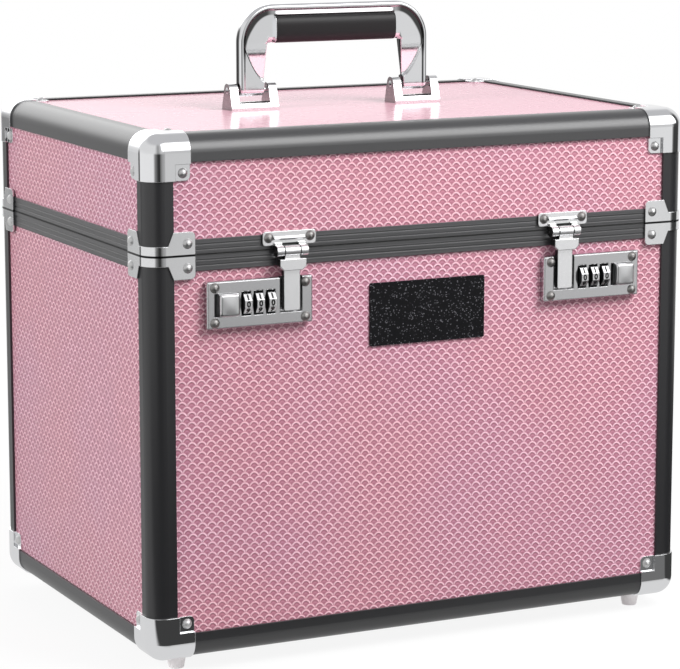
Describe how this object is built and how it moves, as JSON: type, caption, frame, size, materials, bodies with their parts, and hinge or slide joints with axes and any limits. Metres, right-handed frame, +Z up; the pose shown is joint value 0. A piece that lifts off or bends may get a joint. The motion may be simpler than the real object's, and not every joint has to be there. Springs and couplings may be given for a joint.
{
  "type": "horse grooming box",
  "caption": "Upright metal-edged grooming box with a hinged lid, a folding carry handle, combination hasp locks and a lift-out tray.",
  "frame": {"origin": "on the floor, midway between the feet", "axes": "+Z up, -Y towards the front with the locks, +X to the right seen from the front"},
  "size_m": [0.386, 0.2873, 0.4035],
  "materials": {
    "scale_laminate": "embossed scale pattern, satin gloss",
    "smooth_laminate": "smooth high gloss",
    "bottom_board": "fine-grained matt",
    "edge_aluminium": "dark anodised, satin",
    "chrome_steel": "polished plating",
    "nickel_steel": "satin nickel plating",
    "rivet_steel": "bright plating",
    "plain_steel": "plain bright steel",
    "foot_plastic": "milky, slightly soft",
    "badge_glitter": "fine glitter under a clear coat",
    "dial_plastic": "black sides, bright flats with dark figures",
    "grip_plastic": "satin black",
    "lining_foam": "short-napped foam lining",
    "tray_plastic": "fine-grained black"
  },
  "bodies": {
    "base": {"base_front_panel": "scale_laminate", "base_back_panel": "scale_laminate", "base_left_panel": "scale_laminate", "base_right_panel": "scale_laminate", "base_bottom_panel": "bottom_board", "base_bottom_edges": "edge_aluminium", "base_corner_posts": "edge_aluminium", "base_closing_rails": "edge_aluminium", "base_corner_caps": "chrome_steel", "base_corner_brackets": "nickel_steel", "lock_plate_left": "nickel_steel", "lock_plate_right": "nickel_steel", "hinge_base_leaves": "nickel_steel", "hinge_pins": "nickel_steel", "base_rivets": "rivet_steel", "foot_screws": "rivet_steel", "lock_case_left": "plain_steel", "lock_case_right": "plain_steel", "dial_axles": "plain_steel", "button_spring_left": "plain_steel", "button_spring_right": "plain_steel", "feet": "foot_plastic", "badge_plate": "badge_glitter", "base_lining": "lining_foam", "tray_ledges": "tray_plastic"},
    "lid": {"lid_top_panel": "smooth_laminate", "lid_front_panel": "scale_laminate", "lid_back_panel": "scale_laminate", "lid_left_panel": "scale_laminate", "lid_right_panel": "scale_laminate", "lid_top_edges": "edge_aluminium", "lid_corner_posts": "edge_aluminium", "lid_closing_rails": "edge_aluminium", "lid_corner_caps": "chrome_steel", "lid_corner_brackets": "nickel_steel", "lid_rivets": "rivet_steel", "lid_lining": "lining_foam", "handle_brackets": "chrome_steel", "handle_pins": "chrome_steel", "handle_screws": "rivet_steel", "handle_backing_plates": "plain_steel", "hasp_plates": "nickel_steel", "hasp_pins": "nickel_steel", "hinge_lid_leaves": "nickel_steel"},
    "handle": {"handle_bail": "chrome_steel", "handle_grip": "grip_plastic"},
    "hasp_left": {"hasp_left": "nickel_steel"},
    "hasp_right": {"hasp_right": "nickel_steel"},
    "button_left": {"button_left": "nickel_steel"},
    "button_right": {"button_right": "nickel_steel"},
    "tray": {"tray": "tray_plastic", "tray_dividers": "tray_plastic"},
    "dial_left_outer": {"dial_left_outer": "dial_plastic"},
    "dial_left_middle": {"dial_left_middle": "dial_plastic"},
    "dial_left_inner": {"dial_left_inner": "dial_plastic"},
    "dial_right_inner": {"dial_right_inner": "dial_plastic"},
    "dial_right_middle": {"dial_right_middle": "dial_plastic"},
    "dial_right_outer": {"dial_right_outer": "dial_plastic"}
  },
  "joints": [
    {"name": "lid_hinge", "type": "hinge", "parent": "base", "child": "lid", "pos_m": [0, 0.1389, 0.26275], "axis": [-1, 0, 0], "range_deg": [0, 95]},
    {"name": "handle_fold", "type": "hinge", "parent": "lid", "child": "handle", "pos_m": [0, 0.0035, 0.3474], "axis": [1, 0, 0], "range_deg": [-92, 92]},
    {"name": "tray_lift", "type": "slide", "parent": "base", "child": "tray", "axis": [0, 0, 1], "range_m": [0, 0.045]},
    {"name": "hasp_left_swing", "type": "hinge", "parent": "lid", "child": "hasp_left", "pos_m": [-0.097, -0.1376, 0.262], "axis": [-1, 0, 0], "range_deg": [0, 110]},
    {"name": "hasp_right_swing", "type": "hinge", "parent": "lid", "child": "hasp_right", "pos_m": [0.097, -0.1376, 0.262], "axis": [-1, 0, 0], "range_deg": [0, 110]},
    {"name": "button_left_slide", "type": "slide", "parent": "base", "child": "button_left", "axis": [-1, 0, 0], "range_m": [0, 0.0024], "stiffness_N_per_m": 300, "springref_m": -0.001, "deforming": ["button_spring_left"]},
    {"name": "button_right_slide", "type": "slide", "parent": "base", "child": "button_right", "axis": [-1, 0, 0], "range_m": [0, 0.0024], "stiffness_N_per_m": 300, "springref_m": -0.001, "deforming": ["button_spring_right"]},
    {"name": "dial_left_outer_turn", "type": "hinge", "parent": "base", "child": "dial_left_outer", "pos_m": [-0.1272, -0.1343, 0.2312], "axis": [1, 0, 0], "continuous": true},
    {"name": "dial_left_middle_turn", "type": "hinge", "parent": "base", "child": "dial_left_middle", "pos_m": [-0.119, -0.1343, 0.2312], "axis": [1, 0, 0], "continuous": true},
    {"name": "dial_left_inner_turn", "type": "hinge", "parent": "base", "child": "dial_left_inner", "pos_m": [-0.1108, -0.1343, 0.2312], "axis": [1, 0, 0], "continuous": true},
    {"name": "dial_right_outer_turn", "type": "hinge", "parent": "base", "child": "dial_right_outer", "pos_m": [0.1272, -0.1343, 0.2312], "axis": [1, 0, 0], "continuous": true},
    {"name": "dial_right_middle_turn", "type": "hinge", "parent": "base", "child": "dial_right_middle", "pos_m": [0.119, -0.1343, 0.2312], "axis": [1, 0, 0], "continuous": true},
    {"name": "dial_right_inner_turn", "type": "hinge", "parent": "base", "child": "dial_right_inner", "pos_m": [0.1108, -0.1343, 0.2312], "axis": [1, 0, 0], "continuous": true}
  ]
}
